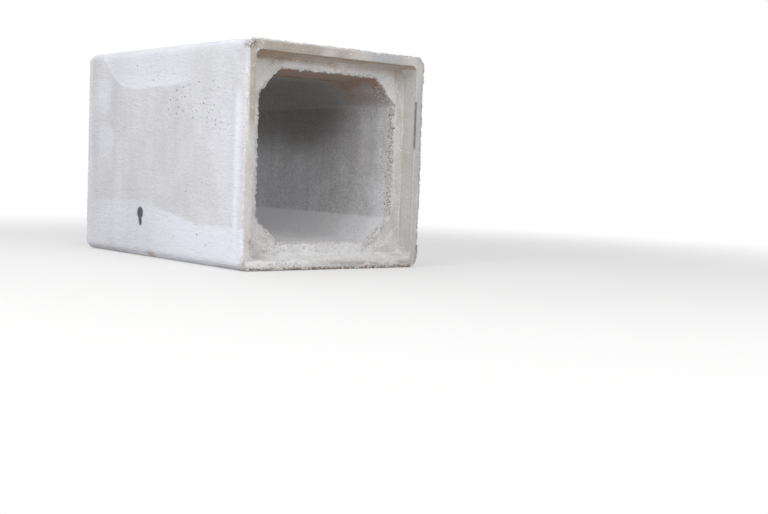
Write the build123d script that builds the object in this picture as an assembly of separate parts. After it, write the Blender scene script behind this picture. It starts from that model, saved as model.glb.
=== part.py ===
from build123d import *
import os

# Precast concrete box culvert section, one casting. Millimetres, +Z up, barrel along Y.
# The socket (groove) end faces -Y and the tongue end faces +Y.
# The origin is the middle of the underside, halfway between the two ends.

# Waterway: a rectangle with 45 degree haunches in its corners
bore_width = 914.4
bore_height = 914.4
haunch = 138.0

# Walls and length
side_wall = 152.4
top_slab = 152.4
bottom_slab = 152.4
laying_length = 1828.8
edge_chamfer = 36.0

# Socket: a drafted recess inside a lip that runs round the end
lip_thickness = 60.0
socket_depth = 92.0
socket_draft = 20.0
mouth_corner_radius = 30.0
seat_corner_radius = 46.0
lip_edge_radius = 4.0

# Joint to the next section: room for the sealant beside, inside and outside the tongue
joint_clearance = 6.0
joint_end_gap = 12.0
joint_outer_gap = 12.0
tongue_root_radius = 12.0
tongue_edge_radius = 7.0

# Eased edges where the waterway meets the two ends
bore_edge_radius = 12.0

outside_width = bore_width + 2 * side_wall
outside_height = bottom_slab + bore_height + top_slab
barrel_length = laying_length - joint_outer_gap
tongue_length = joint_outer_gap + socket_depth - joint_end_gap
total_length = barrel_length + tongue_length
socket_end = -total_length / 2
socket_seat = socket_end + socket_depth
outside_shoulder = socket_end + barrel_length
tongue_end = outside_shoulder + tongue_length
along_barrel = (0, 1, 0)


def section_at(y):
    """Plane square to the barrel at y, its own x across and its own y up from the underside."""
    return Plane.XZ.offset(-y)


def joint_section(y, inset, corner_radius):
    """Rounded rectangle that stays the same distance inside the outside of the barrel."""
    width = outside_width - 2 * inset
    height = outside_height - 2 * inset
    outline = RectangleRounded(width, height, corner_radius)
    return section_at(y) * Pos(0, outside_height / 2) * outline


def barrel():
    """Outside of the section, with its four long edges chamfered."""
    outline = Rectangle(outside_width, outside_height, align=(Align.CENTER, Align.MIN))
    outline = chamfer(outline.vertices(), edge_chamfer)
    return extrude(section_at(socket_end) * outline, amount=barrel_length, dir=along_barrel)


def drafted_space(depth_at_start, depth_at_end, y_at_start, y_at_end, clearance):
    """Solid that follows the socket's drafted walls between two depths, a clearance inside them."""
    sections = []
    for depth, y in ((depth_at_start, y_at_start), (depth_at_end, y_at_end)):
        share = depth / socket_depth
        inset = lip_thickness + share * socket_draft + clearance
        radius = mouth_corner_radius + share * (seat_corner_radius - mouth_corner_radius) - clearance
        sections.append(joint_section(y, inset, radius).face())
    return loft(sections, ruled=True)


def socket_space():
    """Space that the next section's tongue enters, widest at its mouth."""
    return drafted_space(0, socket_depth, socket_end, socket_seat, 0)


def tongue():
    """Tongue as it lies in the next section's socket, one joint clearance off its walls."""
    root_depth = -joint_outer_gap
    tip_depth = root_depth + tongue_length
    return drafted_space(root_depth, tip_depth, outside_shoulder, tongue_end, joint_clearance)


def waterway():
    """Space inside the barrel, an octagon with long sides, right through both ends."""
    outline = Rectangle(bore_width, bore_height)
    outline = chamfer(outline.vertices(), haunch)
    placed = section_at(socket_end) * Pos(0, bottom_slab + bore_height / 2) * outline
    return extrude(placed, amount=total_length, dir=along_barrel)


def end_face(solid, y):
    """Flat face square to the barrel at y."""
    return solid.faces().filter_by(Axis.Y).filter_by_position(Axis.Y, y - 0.01, y + 0.01)[0]


def inner_loop(solid, y):
    """Edges round the hole in the end face at y."""
    return end_face(solid, y).inner_wires()[0].edges()


def outer_loop(solid, y):
    """Edges round the outside of the end face at y."""
    return end_face(solid, y).outer_wire().edges()


def box_section():
    """The whole casting: barrel and tongue, less the socket and the waterway, with eased edges."""
    solid = barrel() + tongue()
    solid = fillet(inner_loop(solid, outside_shoulder), tongue_root_radius)
    solid = fillet(outer_loop(solid, tongue_end), tongue_edge_radius)
    solid = solid - socket_space() - waterway()
    solid = fillet(inner_loop(solid, socket_seat), bore_edge_radius)
    solid = fillet(inner_loop(solid, tongue_end), bore_edge_radius)
    return fillet(inner_loop(solid, socket_end), lip_edge_radius)


os.makedirs("parts", exist_ok=True)
casting = box_section()
casting.label = "box_section"
export_step(casting, "parts/box_section.step")
print("box_section volume", round(casting.volume / 1e9, 4), "cubic metres, total length", total_length)
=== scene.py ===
"""Looks of a precast concrete box culvert section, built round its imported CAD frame.

The casting is drawn again as a fine mesh in three blocks, because its struck lip, its ragged edges and its
honeycombed patches are shapes that a plain solid can't hold. Every size is in millimetres until a mesh is
written.
"""
from __future__ import annotations

import logging
import math
from collections.abc import Iterator
from dataclasses import dataclass
from enum import Enum, IntEnum
from functools import cached_property

import bpy
import numpy as np
from mathutils import Matrix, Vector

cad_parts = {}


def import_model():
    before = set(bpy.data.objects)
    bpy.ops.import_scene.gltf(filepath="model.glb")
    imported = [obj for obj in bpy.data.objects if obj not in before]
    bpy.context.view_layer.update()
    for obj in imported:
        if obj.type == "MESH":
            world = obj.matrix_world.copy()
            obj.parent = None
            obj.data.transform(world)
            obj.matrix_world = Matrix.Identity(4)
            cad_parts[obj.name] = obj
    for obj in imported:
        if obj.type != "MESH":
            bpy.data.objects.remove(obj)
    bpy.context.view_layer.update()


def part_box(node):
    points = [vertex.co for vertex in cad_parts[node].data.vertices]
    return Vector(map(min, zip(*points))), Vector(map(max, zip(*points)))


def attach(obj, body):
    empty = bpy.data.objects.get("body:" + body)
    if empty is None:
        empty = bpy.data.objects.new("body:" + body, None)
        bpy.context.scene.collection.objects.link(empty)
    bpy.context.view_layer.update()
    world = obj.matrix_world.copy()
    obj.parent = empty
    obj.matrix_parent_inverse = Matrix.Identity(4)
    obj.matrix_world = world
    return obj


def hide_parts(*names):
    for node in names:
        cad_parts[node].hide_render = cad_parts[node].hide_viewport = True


MM = 0.001
CAD_NODE = "box_section"
BODY = "root"
LOG = logging.getLogger("culvert")


class Zone(IntEnum):
    """Part of the casting's surface, by how its concrete was formed."""

    OUTSIDE = 0
    LIP = 1
    SOCKET = 2
    BORE = 3
    TONGUE = 4


class Mark(str, Enum):
    """Named values that the mesh carries for its materials."""

    # Milky cement skin, with painted light on the socket floor and deeper in the waterway's floor.
    LAITANCE_AND_LIGHT = "laitance_and_light"
    # Clay and rust stains, with painted shade under the socket's upper lip.
    STAIN_AND_SHADE = "stain_and_shade"
    # Painted shade in hollows and bug holes, and the core form's lines overhead.
    CAVITY_SHADE_AND_LINES = "cavity_shade_and_lines"
    INK = "ink"
    CRUMBLY = "crumbly"
    # Damp and dust, with painted shade in the seat's corners, at the mouth's edge and deep in the waterway.
    DAMP_AND_SHADE = "damp_and_shade"
    # Clay from the yard, with painted shade along the bottom edge.
    CLAY = "clay_and_shade"
    BROKEN = "broken"


@dataclass(frozen=True)
class Outline:
    """Square outline across the barrel, with its corners cut or rounded."""

    half: float
    corner: float
    rounded: bool = False

    def grown(self, by: float) -> Outline:
        """Return the outline moved outwards by a distance, or inwards by a negative one."""
        corner_change = by if self.rounded else by * (2 - math.sqrt(2))
        return Outline(self.half + by, self.corner + corner_change, self.rounded)

    def points(self, per_side: int, per_corner: int) -> np.ndarray:
        """Give the outline's points, anticlockwise as seen from the socket end.

        Args:
            per_side: steps along each of the four sides.
            per_corner: steps round each of the four corners.

        Returns:
            One row of x and height above the axis for each point.
        """
        flat = self.half - self.corner
        along = np.arange(per_side) / per_side
        side = np.column_stack([flat * (2 * along - 1), np.full(per_side, -self.half)])
        turn = np.arange(per_corner) / per_corner
        if self.rounded:
            angle = turn * math.pi / 2
            bend = np.column_stack([flat + self.corner * np.sin(angle), -flat - self.corner * np.cos(angle)])
        else:
            bend = np.column_stack([flat + self.corner * turn, -self.half + self.corner * turn])
        quarters = [np.vstack([side, bend])]
        for _ in range(3):
            last = quarters[-1]
            quarters.append(np.column_stack([-last[:, 1], last[:, 0]]))
        return np.vstack(quarters)


@dataclass(frozen=True)
class Station:
    """Outline of the surface at one place along the barrel."""

    outline: Outline
    y: float


@dataclass(frozen=True)
class Span:
    """Strip of surface from one station to the next, round a bend where it has one."""

    end: Station
    rows: int
    zone: Zone
    bend: Station | None = None
    hidden: bool = False


@dataclass(frozen=True)
class SectionSizes:
    """Outlines of the casting, from the same sizes as its CAD part."""

    outside: float
    socket_end: float
    tongue_end: float
    bore: float = 914.4
    haunch: float = 138.0
    edge_chamfer: float = 36.0
    lip_thickness: float = 60.0
    socket_depth: float = 92.0
    socket_draft: float = 20.0
    mouth_corner_radius: float = 30.0
    seat_corner_radius: float = 46.0
    joint_clearance: float = 6.0
    joint_outer_gap: float = 12.0
    tongue_length: float = 92.0

    @classmethod
    def from_frame(cls) -> SectionSizes:
        """Take the outside sizes from the CAD node."""
        low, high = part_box(CAD_NODE)
        return cls((high[0] - low[0]) / MM, low[1] / MM, high[1] / MM)

    @property
    def centre_height(self) -> float:
        """Height of the barrel's axis above the underside."""
        return self.outside / 2

    @property
    def half(self) -> float:
        """Half of the outside width, and of the height."""
        return self.outside / 2

    @property
    def mouth(self) -> float:
        """Half of the socket's width at its mouth."""
        return self.half - self.lip_thickness

    @property
    def half_bore(self) -> float:
        """Half of the waterway's width."""
        return self.bore / 2

    @property
    def haunch_foot(self) -> float:
        """Height above the axis at which the upper haunches start."""
        return self.half_bore - self.haunch

    @property
    def seat(self) -> float:
        """Place of the socket's seat along the barrel."""
        return self.socket_end + self.socket_depth

    @property
    def shoulder(self) -> float:
        """Place of the outside shoulder that the tongue stands out of."""
        return self.tongue_end - self.tongue_length

    @property
    def outer(self) -> Outline:
        """Outside of the barrel."""
        return Outline(self.outside / 2, self.edge_chamfer)

    @property
    def waterway(self) -> Outline:
        """Opening that the water runs through."""
        return Outline(self.bore / 2, self.haunch)

    def socket(self, depth: float, clearance: float = 0.0) -> Outline:
        """Give the drafted socket wall at a depth, or the tongue that fits it with a clearance.

        Args:
            depth: distance from the mouth towards the seat.
            clearance: room between the socket wall and the outline.

        Returns:
            The rounded outline at that depth.
        """
        share = depth / self.socket_depth
        inset = self.lip_thickness + share * self.socket_draft + clearance
        radius = self.mouth_corner_radius + share * (self.seat_corner_radius - self.mouth_corner_radius)
        return Outline(self.outside / 2 - inset, radius - clearance, True)

    def tongue(self, y: float) -> Outline:
        """Outline of the tongue at a place along the barrel."""
        return self.socket(y - self.shoulder - self.joint_outer_gap, self.joint_clearance)

    def outer_inset(self, place: np.ndarray) -> np.ndarray:
        """Give how far each place lies inside the barrel's outline.

        Args:
            place: points in millimetres, in the last axis.

        Returns:
            Distance inwards from the nearest outside face.
        """
        across = np.abs(place[..., 0])
        height = np.abs(place[..., 2] - self.centre_height)
        half = self.outside / 2
        cut = (2 * half - self.edge_chamfer - across - height) / math.sqrt(2)
        return np.minimum(np.minimum(half - across, half - height), cut)

    def bore_outset(self, place: np.ndarray) -> np.ndarray:
        """Give how far each place lies outside the waterway's outline.

        Args:
            place: points in millimetres, in the last axis.

        Returns:
            Distance outwards from the nearest wall of the waterway.
        """
        across = np.abs(place[..., 0])
        height = np.abs(place[..., 2] - self.centre_height)
        half = self.bore / 2
        cut = (across + height - 2 * half + self.haunch) / math.sqrt(2)
        return np.maximum(np.maximum(across - half, height - half), cut)


def eased(value: np.ndarray, low: float, high: float) -> np.ndarray:
    """Give 0 up to low and 1 from high on, with a smooth rise between them.

    Args:
        value: numbers to ease.
        low: value at which the rise starts.
        high: value at which it ends, which may lie below low.

    Returns:
        Numbers from 0 to 1.
    """
    share = np.clip((value - low) / (high - low), 0.0, 1.0)
    return share * share * (3 - 2 * share)


def bump_at(value: np.ndarray, middle: float, reach: float) -> np.ndarray:
    """Smooth hump that is 1 at the middle and fades out with distance."""
    return np.exp(-(((value - middle) / reach) ** 2))


@dataclass(frozen=True)
class Grain:
    """Repeatable random pattern, worked out from a place alone, so that blocks meet without a step."""

    seed: int

    STRIDES = (73856093, 19349663, 83492791)
    STIR = 2246822519
    SEED_STEP = 7919
    SALT_STEP = 104729

    def of_cell(self, cell: np.ndarray, salt: int = 0) -> np.ndarray:
        """Give each whole-number cell its own random number.

        Args:
            cell: whole numbers, three in the last axis.
            salt: picks another number for the same cell.

        Returns:
            Numbers from 0 to 1.
        """
        start = self.seed * self.SEED_STEP + salt * self.SALT_STEP
        mixed = np.full(cell.shape[:-1], start % 2**32, np.uint32)
        for axis, stride in enumerate(self.STRIDES):
            mixed ^= cell[..., axis].astype(np.int64).astype(np.uint32) * np.uint32(stride)
            mixed ^= mixed >> np.uint32(15)
            mixed *= np.uint32(self.STIR)
            mixed ^= mixed >> np.uint32(13)
        return mixed / float(2**32)

    def clouds(self, place: np.ndarray, size: float, layers: int = 1) -> np.ndarray:
        """Give a smooth uneven pattern.

        Args:
            place: points in millimetres.
            size: distance over which the pattern changes.
            layers: finer patterns laid over the first, each half as wide and half as strong.

        Returns:
            Numbers from 0 to 1.
        """
        total = np.zeros(place.shape[:-1])
        weight = 1.0
        weights = 0.0
        for layer in range(layers):
            scaled = place * (2**layer / size)
            base = np.floor(scaled)
            part = scaled - base
            part = part * part * (3 - 2 * part)
            value = np.zeros(place.shape[:-1])
            for corner in np.ndindex(2, 2, 2):
                step = np.array(corner)
                share = np.prod(np.where(step, part, 1 - part), axis=-1)
                value += share * self.of_cell(base + step, layer)
            total += weight * value
            weights += weight
            weight /= 2
        return total / weights

    def lumps(self, place: np.ndarray, size: float) -> tuple[np.ndarray, np.ndarray]:
        """Find the nearest of many scattered seeds.

        Args:
            place: points in millimetres.
            size: usual distance between two seeds.

        Returns:
            Distance to the nearest seed as a share of the size, and that seed's own random number.
        """
        scaled = place / size
        base = np.floor(scaled)
        nearest = np.full(place.shape[:-1], np.inf)
        own = np.zeros(place.shape[:-1])
        for offset in np.ndindex(3, 3, 3):
            cell = base + np.array(offset) - 1
            shift = np.stack([self.of_cell(cell, axis + 1) for axis in range(3)], axis=-1)
            distance = np.linalg.norm(scaled - (cell + shift), axis=-1)
            closer = distance < nearest
            nearest = np.where(closer, distance, nearest)
            own = np.where(closer, self.of_cell(cell, 9), own)
        return nearest, own


@dataclass(frozen=True)
class Seam:
    """Place along the barrel at which two blocks meet, on the outside or in the waterway."""

    y: float
    on_outside: bool


@dataclass(frozen=True)
class Chip:
    """Piece broken off an edge: its middle, its reach and its greatest depth."""

    place: tuple[float, float, float]
    reach: float
    depth: float


@dataclass(frozen=True)
class EdgeShares:
    """How strongly an edge is worn on each side of the opening."""

    left: float
    right: float
    bottom: float
    top: float

    CORNER_BLEND = 60.0

    def at(self, x: np.ndarray, height: np.ndarray) -> np.ndarray:
        """Give each place the share of the side that it lies on.

        Args:
            x: places across the barrel.
            height: their heights above the axis.

        Returns:
            The wear of that side's edge.
        """
        sideways = np.where(x < 0, self.left, self.right)
        upright = np.where(height < 0, self.bottom, self.top)
        share = eased(np.abs(x) - np.abs(height), -self.CORNER_BLEND, self.CORNER_BLEND)
        return share * sideways + (1 - share) * upright


@dataclass
class Weathering:
    """Wear of the casting: how deep each place has crumbled, what stains and bleaches it, painted shade and
    light.

    The property named after a mark gives that mark's values. Heights are above the barrel's axis, and z is
    above its underside. The first number in each call of clouds is the seed of its pattern.
    """

    sizes: SectionSizes
    place: np.ndarray
    form_waviness: float = 1.1
    waviness_width: float = 330.0
    outer_edge: EdgeShares = EdgeShares(left=0.22, right=0.95, bottom=1.5, top=0.12)
    rim_edge: EdgeShares = EdgeShares(left=1.0, right=0.8, bottom=0.45, top=0.85)
    rim_set_back: EdgeShares = EdgeShares(left=10.5, right=8.0, bottom=7.0, top=15.0)
    soft_arris: EdgeShares = EdgeShares(left=5.0, right=3.0, bottom=1.5, top=0.3)
    bite_width: float = 27.0
    tooth_width: float = 7.5
    lump_width: float = 85.0
    outer_bite: float = 18.0
    outer_reach: float = 16.0
    mouth_bite: float = 2.6
    mouth_reach: float = 8.0
    rim_bite: float = 7.0
    rim_reach: float = 12.0
    far_rim_reach: float = 17.0
    shoulder_bite: float = 3.2
    shoulder_reach: float = 9.0
    tooth_depth: float = 16.0
    arris_wear: float = 3.0
    arris_reach: float = 6.0
    end_arris_reach: float = 10.0
    grit_width: float = 13.0
    void_width: float = 10.5
    void_depth: float = 6.5
    lip_stone: float = 13.0
    gap_depth: float = 3.2
    web_edge: float = 80.0
    web_edge_lower_left: float = 102.0
    web_wander: float = 14.0
    web_step: float = 6.0
    crease_depth: float = 3.5
    ring_depth: float = 3.5
    corner_shade_depth: float = 5.5
    darkest_depth: float = 6.0
    sunk_top: float = 10.0

    ROUGHNESS = {Zone.OUTSIDE: 0.35, Zone.LIP: 1.9, Zone.SOCKET: 0.7, Zone.BORE: 0.45, Zone.TONGUE: 0.8}
    SEAM_CALM = 20.0
    WALL_SKIN = 20.0
    SEAT_SKIN = 6.0
    NICK_SEED = 41
    OPEN_LIP = (-350.0, 170.0)

    @classmethod
    def over(cls, sizes: SectionSizes, grid: np.ndarray, seams: tuple[Seam, ...]) -> Weathering:
        """Weather a block, stretched near each seam so that its surface runs straight across it.

        Args:
            sizes: sizes of the casting.
            grid: the block's points in millimetres.
            seams: seams between the blocks.

        Returns:
            The weathering of the points that patterns are read at.
        """
        moved = grid.copy()
        on_outside = sizes.outer_inset(grid) < 0.5 * sizes.lip_thickness
        in_waterway = sizes.bore_outset(grid) < cls.rim_reach
        for seam in seams:
            past = grid[..., 1] - seam.y
            here = on_outside if seam.on_outside else in_waterway
            held = here * np.clip(past, -cls.SEAM_CALM, cls.SEAM_CALM)
            moved[..., 1] -= held * eased(np.abs(past), 5 * cls.SEAM_CALM, cls.SEAM_CALM)
        return cls(sizes, moved)

    def __post_init__(self) -> None:
        """Work out where each place lies on the casting."""
        sizes = self.sizes
        self.x, self.y, self.z = np.moveaxis(self.place, -1, 0)
        self.height = self.z - sizes.centre_height
        self.behind = self.y - sizes.seat
        self.past_end = self.y - sizes.socket_end
        self.inset = sizes.outer_inset(self.place)
        self.outset = sizes.bore_outset(self.place)
        self.on_bore = self.outset < self.WALL_SKIN
        self.on_seat = (self.inset > sizes.lip_thickness) * bump_at(self.behind, 0, self.SEAT_SKIN)
        self.top_left = (-sizes.half, sizes.socket_end, sizes.outside)

    def clouds(
        self, seed: int, size: float, layers: int, stretch: tuple[float, float, float] = (1, 1, 1)
    ) -> np.ndarray:
        """Smooth uneven pattern from 0 to 1, drawn out along each axis whose stretch is below 1."""
        return Grain(seed).clouds(self.place * np.array(stretch), size, layers)

    def near_edge(self, off: np.ndarray, y: float, reach: float) -> np.ndarray:
        """Share that fades out with distance from the edge at y of the wall that places lie off."""
        return bump_at(np.hypot(np.maximum(off, 0), self.y - y), 0, reach)

    def near_point(self, middle: tuple[float, float, float], reach: float) -> np.ndarray:
        """Share that fades out with distance from a point."""
        return bump_at(np.linalg.norm(self.place - np.array(middle), axis=-1), 0, reach)

    def lip_wear(self, reach: float) -> np.ndarray:
        """Wear along the outer edge of the socket end."""
        shares = self.outer_edge.at(self.x, self.height)
        return self.near_edge(self.inset, self.sizes.socket_end, reach) * shares

    def rim_wear(self, reach: float) -> np.ndarray:
        """Wear along the rim of the waterway."""
        return self.near_edge(self.outset, self.sizes.seat, reach) * self.rim_edge.at(self.x, self.height)

    def low_ring(self, full_below: float) -> np.ndarray:
        """Share that is 1 on the rough ring of the seat, below the opening."""
        return self.on_seat * eased(self.past_web, 0, -8) * eased(self.z, 190, full_below)

    def named_chips(self) -> list[Chip]:
        """Give the large chips that the socket end shows.

        Returns:
            Chips in the top edge, at the corners and inside the lower left of the lip.
        """
        top, front, right = self.sizes.outside, self.sizes.socket_end, self.sizes.half
        mouth_left = -self.sizes.mouth
        return [
            Chip((-215, front, top), 30, 5),
            Chip((250, front, top), 24, 12),
            Chip((272, front, top), 18, 5),
            Chip((right - 12, front, top - 12), 54, 6),
            Chip((26 - right, front, top - 9), 24, 9),
            Chip((9 - right, front, top - 28), 17, 8),
            Chip((4 - right, front, top - 62), 12, 6),
            Chip((mouth_left - 4, front, 152), 22, 10),
            Chip((mouth_left + 2, front, 118), 20, 8),
            Chip((6 - right, front, 24), 26, 9),
            Chip((right - 8, front, 40), 20, 7),
        ]

    def scattered_nicks(self) -> list[Chip]:
        """Scatter small nicks along the edges of both ends.

        Returns:
            Nicks on the upright arrises and along the shoulder of the tongue end.
        """
        random = np.random.default_rng(self.NICK_SEED)
        sizes = self.sizes
        half, front, shoulder = sizes.half, sizes.socket_end, sizes.shoulder
        nicks = []
        for x, y, pitch, deepest in (
            (-half, front, 24, 2.8),
            (half, front, 30, 3.6),
            (-half, shoulder, 34, 3),
            (half, shoulder, 34, 3),
        ):
            z = sizes.edge_chamfer
            while z < sizes.outside - sizes.edge_chamfer:
                reach = random.uniform(5, 11)
                nicks.append(Chip((x, y, z), reach, reach / 11 * deepest))
                z += pitch * random.uniform(0.5, 1.6)
        for z in (0, sizes.outside):
            x = -half
            while x < half:
                reach = random.uniform(7, 16)
                nicks.append(Chip((x, shoulder, z), reach, reach / 16 * 5))
                x += random.uniform(18, 60)
        return nicks

    @cached_property
    def chipped(self) -> np.ndarray:
        """Depth of the chips and nicks.

        Returns:
            Depth in millimetres.
        """
        depth = np.zeros(self.x.shape)
        for chip in self.named_chips() + self.scattered_nicks():
            gap = np.linalg.norm(self.place - np.array(chip.place), axis=-1) / chip.reach
            depth = depth + chip.depth * np.clip(1 - gap * gap, 0, 1) ** 1.5
        return depth

    @cached_property
    def crumbled(self) -> np.ndarray:
        """Depth to which the edges of both ends have crumbled, in uneven bites.

        Returns:
            Depth in millimetres.
        """
        sizes = self.sizes
        drawn_out = (1, 0.35, 1)
        near, own = Grain(11).lumps(self.place * np.array(drawn_out), self.bite_width)
        scoops = eased(near, 0.8, 0.3) * eased(own, 0.4, 0.75)
        between_teeth = eased(self.clouds(13, self.tooth_width, 2, drawn_out), 0.4, 0.58)
        uneven = eased(self.clouds(12, self.lump_width, 2, drawn_out), 0.3, 0.7)
        bites = 0.35 * scoops + 0.5 * between_teeth + 0.3 * uneven
        from_mouth = np.maximum(np.abs(self.x), np.abs(self.height)) - sizes.mouth
        mouth_edge = bump_at(np.hypot(from_mouth, self.past_end), 0, self.mouth_reach)
        return bites * (
            self.outer_bite * self.lip_wear(self.outer_reach)
            + self.mouth_bite * mouth_edge
            + self.rim_bite * self.rim_wear(self.rim_reach)
            + self.rim_bite * self.near_edge(self.outset, sizes.tongue_end, self.far_rim_reach)
            + self.shoulder_bite * self.near_edge(self.inset, sizes.shoulder, self.shoulder_reach)
        )

    def set_back(self) -> np.ndarray:
        """Give how far the broken rim of the opening stands back from the waterway, in the plane of the seat.

        Returns:
            Shift of each point away from the barrel's axis.
        """
        drawn_out = (1, 0.25, 1)
        stones, _ = Grain(16).lumps(self.place * np.array(drawn_out), 1.9 * self.tooth_width)
        teeth = self.clouds(15, self.tooth_width, 2, drawn_out) + stones - 1
        uneven = self.clouds(17, 40, 2, drawn_out) - 0.5
        worn = bump_at(np.hypot(self.x + 372, self.z - 1018), 0, 85)
        torn = bump_at(np.hypot(self.x + 390, self.z - 222), 0, 90)
        taper = eased(self.behind, 400, 8) * (1 - worn) + eased(self.behind, 130, 8) * worn
        ragged = (self.tooth_depth * (1 + 0.6 * torn) * teeth + 6 * uneven) * eased(self.behind, 46, 8)
        wear = self.rim_set_back.at(self.x, self.height) + 4.5 * worn
        shift = np.maximum(wear * taper + ragged, 0) * eased(np.maximum(self.outset, 0), 60, 3)
        reach = np.maximum(np.hypot(self.x, self.height), 1)
        return np.stack([shift * self.x / reach, np.zeros(shift.shape), shift * self.height / reach], axis=-1)

    @cached_property
    def honeycombed(self) -> np.ndarray:
        """Where the concrete is honeycombed.

        Returns:
            Share from 0 to 1: behind the rim on the right, round the opening and at the lip's left corners.
        """
        sizes, height = self.sizes, self.height
        in_haunch = eased(height, sizes.haunch_foot - 10, sizes.haunch_foot + 50)
        edge = 45 + 70 * in_haunch + 90 * self.clouds(22, 70, 3)
        behind_rim = eased(self.behind, -2, 4) * eased(self.behind, edge, 0.35 * edge)
        onto_floor = 50 * (height < -0.6 * sizes.half_bore)
        on_right = eased(self.x + onto_floor, 0.7 * sizes.half_bore, 0.8 * sizes.half_bore)
        pocked = eased(self.outset, 26, 10) * behind_rim * on_right * (0.85 + 0.15 * in_haunch)
        above_rim = eased(self.outset, 20, 6) * eased(height, 420, 450) * eased(self.x, -420, 120)
        beside_floor = eased(self.outset, 14, 4) * eased(height, -420, -450)
        pocked = pocked + self.on_seat * (0.9 * above_rim + 0.6 * beside_floor)
        for z, reach in ((sizes.outside - 20, 48), (26, 30)):
            pocked = pocked + 1.4 * self.near_point((14 - sizes.half, sizes.socket_end, z), reach)
        return np.minimum(pocked, 1)

    @cached_property
    def honeycomb(self) -> np.ndarray:
        """Depth of the small holes where the grout didn't fill the gravel.

        Returns:
            Depth in millimetres.
        """
        near, own = Grain(21).lumps(self.place, self.void_width)
        overhead = eased(self.height, self.sizes.haunch_foot, self.sizes.haunch_foot + 60)
        voids = eased(near, 0.66, 0.3) * eased(own + 0.3 * overhead, 0.36, 0.6)
        return self.void_depth * self.honeycombed * voids

    @cached_property
    def lumpy_lip(self) -> np.ndarray:
        """Depth of the gaps between the stones that lie open in the lower lip.

        Returns:
            Depth in millimetres.
        """
        lip = self.sizes.lip_thickness
        low = eased(self.past_end, 12, 4) * eased(self.z, lip + 2, lip - 8)
        most = 0.35 + 0.65 * bump_at(self.x, *self.OPEN_LIP)
        near, own = Grain(33).lumps(self.place, self.lip_stone)
        return self.gap_depth * low * most * eased(near, 0.35, 0.7) * (0.5 + 0.5 * own)

    def below_fin(self) -> np.ndarray:
        """Give how far the top lies below the ragged fin that the end form left along its edge.

        Returns:
            Depth in millimetres.
        """
        outside = self.sizes.outside
        on_top = eased(self.z, outside - 14, outside - 3)
        standing = eased(self.clouds(14, 15, 2, (1, 0.2, 1)), 0.28, 0.68)
        fin = eased(self.past_end, 26, 12) * (0.1 + 0.9 * standing)
        return self.sunk_top * on_top * eased(self.past_end, 170, 50) * (1 - fin)

    @cached_property
    def past_web(self) -> np.ndarray:
        """How far each place lies past the edge of the smooth web in its corner of the seat.

        Returns:
            Distance in millimetres towards the corner, a little uneven, and negative on the rough ring.
        """
        sizes = self.sizes
        past_haunch = (np.abs(self.x) + np.abs(self.height) - sizes.bore + sizes.haunch) / math.sqrt(2)
        edge = np.where((self.x < 0) & (self.height < 0), self.web_edge_lower_left, self.web_edge)
        return past_haunch - edge + self.web_wander * (self.clouds(31, 60, 2) - 0.5)

    @cached_property
    def web_stands(self) -> np.ndarray:
        """Share that is 0 in the upper right of the seat, where its web runs out smooth."""
        return 1 - eased(self.x, 100, 300) * eased(self.z, 700, 850)

    def seat_relief(self) -> np.ndarray:
        """Give the rough ring round the opening, and its step and crease at the corner webs.

        Returns:
            Depth in millimetres.
        """
        ring = eased(self.past_web, 2, -6)
        step = self.web_step * ring * eased(self.past_web, -120, -60) * self.web_stands
        crease = self.crease_depth * bump_at(self.past_web, -3, 4) * self.web_stands
        return self.on_seat * (step + crease + self.ring_depth * ring * self.clouds(32, 24, 3))

    def depth(self, zone: np.ndarray) -> np.ndarray:
        """Give how far the surface lies inside the forms.

        Args:
            zone: zone of each point.

        Returns:
            Depth in millimetres.
        """
        sizes = self.sizes
        rough = np.zeros(zone.shape)
        for name, height in self.ROUGHNESS.items():
            rough = np.where(zone == name, height, rough)
        waves = self.form_waviness * self.clouds(1, self.waviness_width, 2)
        grit = rough * self.clouds(2, self.grit_width, 2)
        across, upwards = np.abs(self.x), np.abs(self.height)
        flat = sizes.half - sizes.edge_chamfer
        to_side_arris = np.hypot(across - sizes.half, upwards - flat)
        to_top_arris = np.hypot(across - flat, upwards - sizes.half)
        arris = bump_at(np.minimum(to_side_arris, to_top_arris), 0, self.arris_reach)
        wear = self.arris_wear * arris * (0.5 + self.clouds(3, 60, 2)) * (self.inset < sizes.edge_chamfer)
        end_arris = self.near_edge(self.inset, sizes.socket_end, self.end_arris_reach)
        wear = wear + end_arris * self.soft_arris.at(self.x, self.height)
        wear = wear + self.below_fin() + self.seat_relief()
        return waves + grit + wear + self.honeycomb + self.crumbled + self.lumpy_lip + self.chipped

    @cached_property
    def broken_away(self) -> np.ndarray:
        """Part of the depth that broke or crumbled away, plus painted shade at the top left corner.

        Returns:
            Depth in millimetres.
        """
        # The top left corner gets a depth that the mesh doesn't have: painted shade of its voids.
        open_corner = self.near_point((-self.sizes.half, self.sizes.socket_end, self.sizes.outside - 15), 50)
        shallow = 0.1 * self.lumpy_lip + 0.12 * self.chipped
        return self.crumbled + shallow + self.corner_shade_depth * open_corner

    @property
    def cavity_shade_and_lines(self) -> np.ndarray:
        """Painted shade in the hollows of broken edges and honeycomb, and the core form's lines overhead.

        Returns:
            Values from 0 to 1.7.
        """
        sizes = self.sizes
        behind = self.behind + 26 * (self.clouds(59, 200, 2) - 0.5)
        lines = 1.7 * bump_at(behind, 317, 24) + bump_at(behind, 430, 20) + 1.4 * bump_at(behind, 610, 40)
        lines = lines * self.on_bore * eased(self.height, sizes.half_bore - 40, sizes.half_bore - 10)
        lines = lines * (0.7 + 0.3 * eased(self.clouds(60, 60, 2), 0.35, 0.6)) * eased(self.x, 420, 200)
        # Darker as more has broken away: painted shade.
        return np.clip((self.broken_away + 1.6 * self.honeycomb) / self.darkest_depth + lines, 0, 1.7)

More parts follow.
